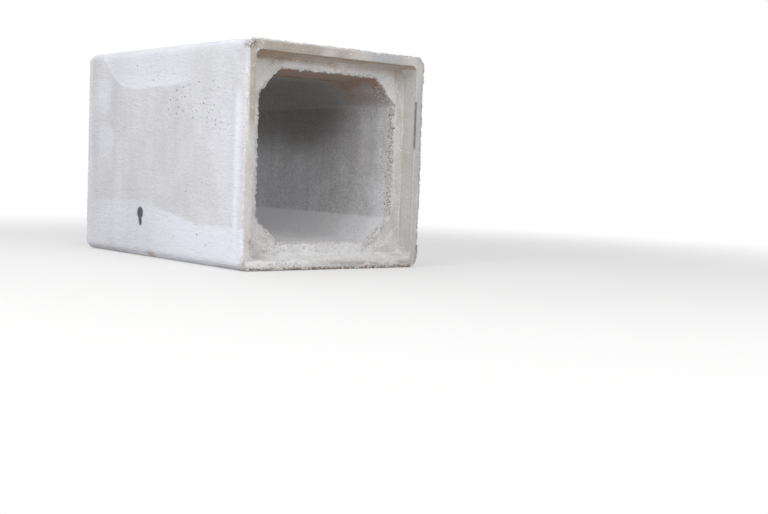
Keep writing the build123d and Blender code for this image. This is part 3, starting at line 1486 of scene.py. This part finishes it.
@dataclass(frozen=True)
class ConcreteFinish:
    """Face of the concrete, as its form or its tool left it. Patterns keep their real sizes."""

    name: str
    body: str
    warm: str
    # Colour of milky skin, also laid as painted light.
    pale: str
    # Colour of stains, also laid as painted shade.
    stained_and_shaded: str
    # Colour of painted shade in hollows, gaps and holes.
    hollow_shade: str
    # Colour of damp, also laid as painted shade.
    damp_and_shade: str
    cloud_mm: float = 300.0
    cloud_range: tuple[float, float] = (0.38, 0.64)
    streak_mm: tuple[float, float, float] = (90.0, 90.0, 700.0)
    streak_depth: float = 0.05
    mottle_mm: float = 30.0
    mottle_depth: float = 0.06
    grit_mm: float = 6.0
    grit_depth: float = 0.1
    pinhole_mm: float = 16.0
    pinhole_share: float = 0.22
    pinhole_reach: float = 0.17
    stone_mm: float = 9.0
    stone_share: float = 0.0
    stone: str = "#D8D4CF"
    stone_where_crumbly: float = 0.14
    # Share of painted shade in the gaps between stones, where crumbly.
    gap_shade_where_crumbly: float = 0.3
    ink: str = "#55545A"
    # Colour of clay, also laid as painted shade along the bottom edge.
    clay_and_shade: str = "#98775F"
    fray: float = 0.45
    wrinkle_mm: tuple[float, float, float] = (55.0, 55.0, 15.0)
    wrinkle_depth: float = 0.0
    relief_mm: float = 1.0
    roughness: float = 0.92

    MOTTLE_RELIEF = 0.9
    PINHOLE_RELIEF = -1.2

    def material(self) -> bpy.types.Material:
        """Build the finish's node tree: shades, marks and painted shade and light over its colour, then its
        relief.

        Returns:
            The material.
        """
        made = bpy.data.materials.new(self.name)
        tree = cleared(made)
        place = add(tree, "ShaderNodeTexCoord").outputs["Object"]
        cloud, mottle, grit = (
            add(tree, "ShaderNodeTexNoise", {"Vector": place, "Scale": 1 / (size * MM), "Detail": detail})
            for size, detail in ((self.cloud_mm, 4.0), (self.mottle_mm, 4.0), (self.grit_mm, 2.0))
        )
        streak = self.drawn_out(tree, place, self.streak_mm, 3.0, 0.0)
        spread = {0: cloud, 1: self.cloud_range[0], 2: self.cloud_range[1]}
        clouded = add(tree, "ShaderNodeMapRange", spread, interpolation_type="SMOOTHSTEP")
        own_colours = {0: clouded, 6: linear(self.body), 7: linear(self.warm)}
        colour = add(tree, "ShaderNodeMix", own_colours, data_type="RGBA")
        colour = self.shaded(tree, colour, streak, self.streak_depth)
        # Damp, with painted shade.
        colour = self.covered(tree, colour, Mark.DAMP_AND_SHADE, self.damp_and_shade, mottle, (0.0, 1.0))
        # Stains, with painted shade under the lip.
        colour = self.covered(tree, colour, Mark.STAIN_AND_SHADE, self.stained_and_shaded, mottle, (0.15, 0.95))
        colour = self.shaded(tree, colour, mottle, self.mottle_depth)
        colour = self.shaded(tree, colour, grit, self.grit_depth)
        # Milky skin, with painted light on the floors.
        colour = self.covered(tree, colour, Mark.LAITANCE_AND_LIGHT, self.pale, mottle, (0.1, 1.0))
        colour = self.stoned(tree, colour, place)
        # Painted shade in hollows and bug holes.
        colour = self.covered(tree, colour, Mark.CAVITY_SHADE_AND_LINES, self.hollow_shade, grit, (0.45, 1.9))
        # Clay, with painted shade along the bottom edge.
        colour = self.covered(tree, colour, Mark.CLAY, self.clay_and_shade, grit, (0.1, 1.2))
        colour = self.covered(tree, colour, Mark.INK, self.ink, grit, (0.0, 0.35))
        # Painted shade in air holes too small for the mesh.
        hole = self.pinholes(tree, place)
        colour = add(tree, "ShaderNodeMix", {0: hole, 6: colour, 7: linear(self.hollow_shade)}, data_type="RGBA")
        summed = {"operation": "MULTIPLY_ADD"}
        height = add(tree, "ShaderNodeMath", {0: mottle, 1: self.MOTTLE_RELIEF, 2: grit}, **summed)
        height = add(tree, "ShaderNodeMath", {0: hole, 1: self.PINHOLE_RELIEF, 2: height}, **summed)
        if self.wrinkle_depth:
            wrinkle = self.drawn_out(tree, place, self.wrinkle_mm, 2.0, 1.2)
            height = add(tree, "ShaderNodeMath", {0: wrinkle, 1: self.wrinkle_depth, 2: height}, **summed)
        relief = {"Height": height, "Distance": self.relief_mm * MM, "Strength": 1.0}
        bump = add(tree, "ShaderNodeBump", relief)
        surface = {"Base Color": colour, "Roughness": self.roughness, "IOR": 1.5, "Specular IOR Level": 0.3}
        shader = add(tree, "ShaderNodeBsdfPrincipled", surface | {"Normal": bump})
        add(tree, "ShaderNodeOutputMaterial", {"Surface": shader})
        return made

    def drawn_out(
        self,
        tree: bpy.types.NodeTree,
        place: bpy.types.NodeSocket,
        size_mm: tuple[float, float, float],
        detail: float,
        distortion: float,
    ) -> bpy.types.Node:
        """Add noise that has its own size along each axis.

        Args:
            tree: the material's node tree.
            place: Object coordinates.
            size_mm: size of the pattern along x, y and z.
            detail: finer layers of the noise.
            distortion: how much the noise is bent.

        Returns:
            The noise.
        """
        scale = [1 / (size * MM) for size in size_mm]
        scaled = add(tree, "ShaderNodeMapping", {"Vector": place, "Scale": scale})
        pattern = {"Vector": scaled, "Scale": 1.0, "Detail": detail, "Distortion": distortion}
        return add(tree, "ShaderNodeTexNoise", pattern)

    def shaded(
        self, tree: bpy.types.NodeTree, colour: bpy.types.Node, pattern: bpy.types.Node, depth: float
    ) -> bpy.types.Node:
        """Lighten and darken a colour by a pattern.

        Args:
            tree: the material's node tree.
            colour: colour so far.
            pattern: noise with its middle at one half.
            depth: greatest change of brightness, as a share.

        Returns:
            The new colour.
        """
        level = add(tree, "ShaderNodeMapRange", {0: pattern, 1: 0.3, 2: 0.7, 3: 1 - depth, 4: 1 + depth})
        layers = {0: 1.0, 6: colour, 7: level}
        return add(tree, "ShaderNodeMix", layers, data_type="RGBA", blend_type="MULTIPLY")

    def covered(
        self,
        tree: bpy.types.NodeTree,
        colour: bpy.types.Node,
        mark: Mark,
        over: str,
        pattern: bpy.types.Node,
        edge: tuple[float, float],
    ) -> bpy.types.Node:
        """Lay another colour over the first where the mesh carries a mark.

        Args:
            tree: the material's node tree.
            colour: colour so far.
            mark: value that the mesh carries.
            over: sRGB hex colour that is laid over.
            pattern: noise that frays the mark's edge.
            edge: values between which the mark comes in.

        Returns:
            The new colour.
        """
        carried = add(tree, "ShaderNodeAttribute", attribute_name=mark.value).outputs["Fac"]
        frayed = add(tree, "ShaderNodeMath", {0: pattern, 1: self.fray, 2: carried}, operation="MULTIPLY_ADD")
        low, high = (limit + self.fray / 2 for limit in edge)
        share = add(tree, "ShaderNodeMapRange", {0: frayed, 1: low, 2: high}, interpolation_type="SMOOTHSTEP")
        return add(tree, "ShaderNodeMix", {0: share, 6: colour, 7: linear(over)}, data_type="RGBA")

    def stoned(
        self, tree: bpy.types.NodeTree, colour: bpy.types.Node, place: bpy.types.NodeSocket
    ) -> bpy.types.Node:
        """Show the aggregate that lies open in the face, and painted shade in the gaps between it where it
        crumbles.

        Args:
            tree: the material's node tree.
            colour: colour so far.
            place: Object coordinates.

        Returns:
            The new colour.
        """
        cells = add(tree, "ShaderNodeTexVoronoi", {"Vector": place, "Scale": 1 / (self.stone_mm * MM)})
        own = add(tree, "ShaderNodeSeparateColor", {0: cells.outputs["Color"]})
        inside = add(tree, "ShaderNodeMapRange", {0: cells.outputs["Distance"], 1: 0.5, 2: 0.3})
        crumbly = add(tree, "ShaderNodeAttribute", attribute_name=Mark.CRUMBLY.value).outputs["Fac"]
        for channel, always, where_crumbly, over in (
            (0, self.stone_share, self.stone_where_crumbly, self.stone),
            # Painted shade in the gaps between stones.
            (1, 0.0, self.gap_shade_where_crumbly, self.hollow_shade),
        ):
            limit = {0: crumbly, 1: -where_crumbly, 2: 1 - always}
            least = add(tree, "ShaderNodeMath", limit, operation="MULTIPLY_ADD")
            compared = {0: own.outputs[channel], 1: least}
            chosen = add(tree, "ShaderNodeMath", compared, operation="GREATER_THAN")
            share = add(tree, "ShaderNodeMath", {0: chosen, 1: inside}, operation="MULTIPLY")
            colour = add(tree, "ShaderNodeMix", {0: share, 6: colour, 7: linear(over)}, data_type="RGBA")
        return colour

    def pinholes(self, tree: bpy.types.NodeTree, place: bpy.types.NodeSocket) -> bpy.types.Node:
        """Scatter air holes that are too small for the mesh; their dark colour is painted shade.

        Args:
            tree: the material's node tree.
            place: Object coordinates.

        Returns:
            Share of hole, from 0 to 1.
        """
        cells = add(tree, "ShaderNodeTexVoronoi", {"Vector": place, "Scale": 1 / (self.pinhole_mm * MM)})
        own = add(tree, "ShaderNodeSeparateColor", {0: cells.outputs["Color"]})
        largest = {0: own, 1: 1 - self.pinhole_share, 2: 1.0, 3: 0.0, 4: self.pinhole_reach}
        radius = add(tree, "ShaderNodeMapRange", largest)
        from_rim = {0: radius, 1: cells.outputs["Distance"]}
        past_rim = add(tree, "ShaderNodeMath", from_rim, operation="SUBTRACT")
        return add(tree, "ShaderNodeMapRange", {0: past_rim, 1: 0.0, 2: 0.05})


def concrete_finishes() -> list[ConcreteFinish]:
    """Give the finish of each zone, in the order of Zone.

    Returns:
        The finishes of the outside, the lip, the socket, the waterway and the tongue.
    """
    return [
        # Concrete cast against oiled steel: a close grey face with milky skin and a few air holes. The fine
        # wrinkles of its skin are drawn coarse, or they would vanish at this distance.
        ConcreteFinish(
            "form_cast_concrete", body="#C9C9CD", warm="#C3C3C6", pale="#DBDDE6", stained_and_shaded="#B99C82",
            hollow_shade="#77736F", damp_and_shade="#B4B4B8", streak_depth=0.035, mottle_mm=17.0, mottle_depth=0.035,
            grit_depth=0.06, fray=0.2, pinhole_share=0.14, wrinkle_mm=(62.0, 62.0, 17.0), wrinkle_depth=4.6,
            relief_mm=1.3,
        ),
        # Concrete struck off by hand at the end: sandy and tan, with open grit and pale stones.
        ConcreteFinish(
            "struck_concrete", body="#CDCBC9", warm="#C5C1BC", pale="#DEDEDE", stained_and_shaded="#A1988F",
            hollow_shade="#7B7774", damp_and_shade="#AAAAAB", cloud_mm=120.0, mottle_mm=20.0, mottle_depth=0.09,
            grit_depth=0.13, pinhole_mm=14.0, pinhole_share=0.14, stone_share=0.02, relief_mm=2.2,
        ),
        # Concrete cast against the joint ring: even light grey, a little dusty.
        ConcreteFinish(
            "joint_cast_concrete", body="#CBCAC9", warm="#C1BEBB", pale="#E8E8E9", stained_and_shaded="#A5917F",
            hollow_shade="#7A7672", damp_and_shade="#A09C97", cloud_mm=170.0, grit_depth=0.16, stone_mm=7.5, stone_share=0.02,
            stone="#E4E5E8", stone_where_crumbly=0.7, gap_shade_where_crumbly=0.5, relief_mm=2.2,
        ),
        # Concrete cast against the core: darker grey, with damp streaks down the walls and painted shade deep
        # inside.
        ConcreteFinish(
            "core_cast_concrete", body="#CFCFD1", warm="#C2C1C1", pale="#DCDBDD", stained_and_shaded="#9C8678",
            hollow_shade="#524E4C", damp_and_shade="#8F8C8A", streak_depth=0.08, mottle_depth=0.08, grit_depth=0.28,
            pinhole_mm=22.0, pinhole_share=0.3, stone_mm=12.0, stone="#E3E4E9", stone_where_crumbly=0.45,
            gap_shade_where_crumbly=0.36, fray=0.2, relief_mm=1.4,
        ),
        # Concrete cast against the tongue ring: light grey, worn sandy at its edges.
        ConcreteFinish(
            "tongue_cast_concrete", body="#CDCCCA", warm="#C6C2BC", pale="#DEDEDF", stained_and_shaded="#A8937D",
            hollow_shade="#7F7973", damp_and_shade="#A7A39E", cloud_mm=150.0, grit_depth=0.15, stone_share=0.05,
            relief_mm=1.6,
        ),
    ]


@dataclass
class LooseStones:
    """Grit or broken stones that stand proud along the ragged edges. Radii are in millimetres."""

    name: str
    mark: Mark
    per_square_metre: float
    smallest: float
    largest: float
    seed: int
    dark: str = "#B5B1AC"
    light: str = "#D6D4D2"
    tone_mm: float = 7.0
    flattest: float = 0.7
    longest: float = 1.25
    subdivisions: int = 1

    def stone_finish(self) -> bpy.types.Material:
        """Build the finish of the stones.

        Returns:
            Crushed aggregate in cement dust: pale, dull and different from stone to stone.
        """
        made = bpy.data.materials.new(f"dusty_aggregate_{self.name}")
        tree = cleared(made)
        place = add(tree, "ShaderNodeTexCoord").outputs["Object"]
        tones = {"Vector": place, "Scale": 1 / (self.tone_mm * MM), "Detail": 1.0}
        tone = add(tree, "ShaderNodeTexNoise", tones)
        spread = add(tree, "ShaderNodeMapRange", {0: tone, 1: 0.3, 2: 0.7})
        colours = {0: spread, 6: linear(self.dark), 7: linear(self.light)}
        colour = add(tree, "ShaderNodeMix", colours, data_type="RGBA")
        surface = {"Base Color": colour, "Roughness": 0.9, "Specular IOR Level": 0.3}
        add(tree, "ShaderNodeOutputMaterial", {"Surface": add(tree, "ShaderNodeBsdfPrincipled", surface)})
        return made

    def scatter(self, sower: bpy.types.Object, finish: bpy.types.Material) -> None:
        """Scatter the stones over an object, by a node group.

        Args:
            sower: object whose mesh carries the mark.
            finish: the stones' material.
        """
        tree = bpy.data.node_groups.new(self.name, "GeometryNodeTree")
        tree.interface.new_socket("Geometry", in_out="OUTPUT", socket_type="NodeSocketGeometry")
        modifier = sower.modifiers.new("stones", "NODES")
        wanted = {}
        for name, kind, value in (
            ("Surface", "Geometry", None),
            ("Mark", "String", self.mark.value),
            ("Stones per square metre", "Float", self.per_square_metre),
            ("Smallest radius", "Float", self.smallest * MM),
            ("Largest radius", "Float", self.largest * MM),
            ("Seed", "Int", self.seed),
            ("Finish", "Material", finish),
        ):
            socket = tree.interface.new_socket(name, in_out="INPUT", socket_type=f"NodeSocket{kind}")
            if value is not None:
                wanted[socket.identifier] = value
        given = add(tree, "NodeGroupInput").outputs
        share = add(tree, "GeometryNodeInputNamedAttribute", {"Name": given["Mark"]}, data_type="FLOAT")
        crowd = {0: share, 1: given["Stones per square metre"]}
        density = add(tree, "ShaderNodeMath", crowd, operation="MULTIPLY")
        sown = {"Mesh": given["Surface"], "Density": density, "Seed": given["Seed"]}
        dots = add(tree, "GeometryNodeDistributePointsOnFaces", sown)
        stone = add(tree, "GeometryNodeMeshIcoSphere", {"Radius": 1.0, "Subdivisions": self.subdivisions})
        turns = {"Max": (math.tau,) * 3, "Seed": given["Seed"]}
        turned = add(tree, "FunctionNodeRandomValue", turns, data_type="FLOAT_VECTOR")
        size = add(tree, "FunctionNodeRandomValue", data_type="FLOAT")
        limits = (socket for socket in size.inputs if socket.type == "VALUE" and socket.enabled)
        for name, limit in zip(("Smallest radius", "Largest radius"), limits):
            tree.links.new(given[name], limit)
        tree.links.new(given["Seed"], size.inputs["Seed"])
        uneven = {"Min": (self.flattest,) * 3, "Max": (self.longest,) * 3, "Seed": given["Seed"]}
        stretch = add(tree, "FunctionNodeRandomValue", uneven, data_type="FLOAT_VECTOR")
        scale = add(tree, "ShaderNodeVectorMath", {0: stretch, "Scale": size}, operation="SCALE")
        instances = {"Points": dots, "Instance": stone, "Rotation": turned, "Scale": scale}
        placed = add(tree, "GeometryNodeInstanceOnPoints", instances)
        real = add(tree, "GeometryNodeRealizeInstances", {"Geometry": placed})
        dressed = add(tree, "GeometryNodeSetMaterial", {"Geometry": real, "Material": given["Finish"]})
        add(tree, "NodeGroupOutput", {0: dressed})
        modifier.node_group = tree
        for identifier, value in wanted.items():
            modifier[identifier] = value

    def build(self, surface: bpy.types.Object) -> bpy.types.Object:
        """Scatter the stones over a worn block and keep them inside the casting's box.

        Args:
            surface: the block that carries them.

        Returns:
            One plain mesh of all the stones.
        """
        finish = self.stone_finish()
        sower = linked("sower", surface.data)
        self.scatter(sower, finish)
        evaluated = sower.evaluated_get(bpy.context.evaluated_depsgraph_get())
        mesh = bpy.data.meshes.new_from_object(evaluated)
        bpy.data.objects.remove(sower)
        mesh.name = self.name
        if finish.name not in mesh.materials:
            mesh.materials.append(finish)
        low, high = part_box(CAD_NODE)
        points = np.empty(len(mesh.vertices) * 3, np.float32)
        mesh.vertices.foreach_get("co", points)
        kept = np.clip(points.reshape(-1, 3), np.array(low), np.array(high))
        mesh.vertices.foreach_set("co", kept.reshape(-1).astype(np.float32))
        mesh.update()
        piece = linked(self.name, mesh)
        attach(piece, BODY)
        LOG.info("%s: %d triangles", piece.name, len(mesh.polygons))
        return piece


@dataclass(frozen=True)
class Viewpoint:
    """Camera that gives the photograph's view of the casting. Metres and degrees."""

    place: tuple[float, float, float] = (-3.9903, -6.1798, 0.5333)
    yaw: float = 39.721
    pitch: float = -3.941
    roll: float = 2.171
    lens_mm: float = 55.913
    sensor_mm: float = 36.0

    def build(self) -> bpy.types.Object:
        """Make the scene's camera.

        Returns:
            The camera.
        """
        yaw, pitch, roll = (math.radians(angle) for angle in (self.yaw, self.pitch, self.roll))
        ahead = np.array([math.sin(yaw) * math.cos(pitch), math.cos(yaw) * math.cos(pitch), math.sin(pitch)])
        level = np.array([math.cos(yaw), -math.sin(yaw), 0.0])
        rise = np.cross(level, ahead)
        right = level * math.cos(roll) + rise * math.sin(roll)
        up = -level * math.sin(roll) + rise * math.cos(roll)
        data = bpy.data.cameras.new("photo_view")
        data.lens = self.lens_mm
        data.sensor_width = self.sensor_mm
        camera = linked("photo_view", data)
        camera.matrix_world = posed(right, up, -ahead, self.place)
        bpy.context.scene.camera = camera
        return camera


@dataclass(frozen=True)
class SoftLamp:
    """Large square lamp that points at the casting. Metres and watts."""

    name: str
    place: tuple[float, float, float]
    side: float
    watts: float
    aim: tuple[float, float, float] = (0.0, 0.0, 0.6)

    def build(self) -> bpy.types.Object:
        """Make the lamp and aim it.

        Returns:
            The lamp.
        """
        data = bpy.data.lights.new(self.name, "AREA")
        data.size = self.side
        data.energy = self.watts
        lamp = linked(self.name, data)
        back = np.array(self.place) - np.array(self.aim)
        back /= np.linalg.norm(back)
        across = np.cross([0.0, 0.0, 1.0], back)
        across /= np.linalg.norm(across)
        lamp.matrix_world = posed(across, np.cross(back, across), back, self.place)
        return lamp


@dataclass(frozen=True)
class Studio:
    """Plain pale floor, white background and soft light. Metres."""

    floor_reach: float = 60.0
    floor_colour: str = "#D8D6D4"
    floor_veil: float = 0.4
    fade_from: float = 2.2
    fade_to: float = 6.5
    ambient: float = 0.385
    ambient_colour: str = "#F1F4FA"
    background: str = "#FFFFFF"
    lamps: tuple[SoftLamp, ...] = (
        SoftLamp("window_light", (-5.8, -2.0, 3.8), 5.0, 308.0),
        SoftLamp("front_light", (-0.8, -6.2, 4.2), 5.0, 241.0),
        SoftLamp("ceiling_light", (0.5, 1.0, 6.5), 5.0, 92.0),
        SoftLamp("back_light", (0.0, 6.4, 2.4), 4.0, 110.0),
    )

    def seen_directly(self, tree: bpy.types.NodeTree) -> bpy.types.Node:
        """Tell the rays that see the background from those that light the casting.

        Args:
            tree: node tree of the floor or the world.

        Returns:
            1 for camera, glossy and transmission rays.
        """
        path = add(tree, "ShaderNodeLightPath").outputs
        first = {0: path["Is Camera Ray"], 1: path["Is Glossy Ray"]}
        both = {0: add(tree, "ShaderNodeMath", first, operation="MAXIMUM"), 1: path["Is Transmission Ray"]}
        return add(tree, "ShaderNodeMath", both, operation="MAXIMUM")

    def build_world(self) -> None:
        """Light the scene evenly, and show it white."""
        world = bpy.data.worlds.new("pale_surround")
        bpy.context.scene.world = world
        tree = cleared(world)
        shown = add(tree, "ShaderNodeBackground", {"Color": linear(self.background), "Strength": 1.0})
        even = {"Color": linear(self.ambient_colour), "Strength": self.ambient}
        lighting = add(tree, "ShaderNodeBackground", even)
        mixed = add(tree, "ShaderNodeMixShader", {0: self.seen_directly(tree), 1: lighting, 2: shown})
        add(tree, "ShaderNodeOutputWorld", {"Surface": mixed})

    def floor_finish(self) -> bpy.types.Material:
        """Build the floor's material, which fades into the white background.

        Returns:
            The material.
        """
        made = bpy.data.materials.new("pale_floor")
        tree = cleared(made)
        place = add(tree, "ShaderNodeTexCoord").outputs["Object"]
        reach = add(tree, "ShaderNodeVectorMath", {0: place}, operation="LENGTH")
        fade = {0: reach, 1: self.fade_from, 2: self.fade_to, 3: self.floor_veil, 4: 1.0}
        far = add(tree, "ShaderNodeMapRange", fade, interpolation_type="SMOOTHSTEP")
        share = add(tree, "ShaderNodeMath", {0: far, 1: self.seen_directly(tree)}, operation="MULTIPLY")
        matt = add(tree, "ShaderNodeBsdfDiffuse", {"Color": linear(self.floor_colour)})
        white = add(tree, "ShaderNodeEmission", {"Color": linear(self.background), "Strength": 1.0})
        mixed = add(tree, "ShaderNodeMixShader", {0: share, 1: matt, 2: white})
        add(tree, "ShaderNodeOutputMaterial", {"Surface": mixed})
        return made

    def build(self) -> None:
        """Make the floor, the world and the lamps."""
        reach = self.floor_reach
        mesh = bpy.data.meshes.new("floor")
        corners = [(-reach, -reach, 0.0), (reach, -reach, 0.0), (reach, reach, 0.0), (-reach, reach, 0.0)]
        mesh.from_pydata(corners, [], [(0, 1, 2, 3)])
        mesh.materials.append(self.floor_finish())
        floor = linked("floor", mesh)
        self.build_world()
        for lamp in self.lamps:
            lamp.build()


def main() -> None:
    """Build the camera, the casting and the studio."""
    logging.basicConfig(level=logging.INFO, format="%(message)s")
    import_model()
    Viewpoint().build()
    finishes = [finish.material() for finish in concrete_finishes()]
    blocks = Casting(SectionSizes.from_frame()).build(finishes)
    LooseStones("loose_grit", Mark.CRUMBLY, 39000.0, 0.9, 2.4, seed=7).build(blocks[0])
    LooseStones("broken_stones", Mark.BROKEN, 15000.0, 2.4, 5.2, seed=8, subdivisions=2).build(blocks[0])
    Studio().build()
    bpy.context.scene.view_settings.view_transform = "Standard"


if __name__ == "__main__":
    main()
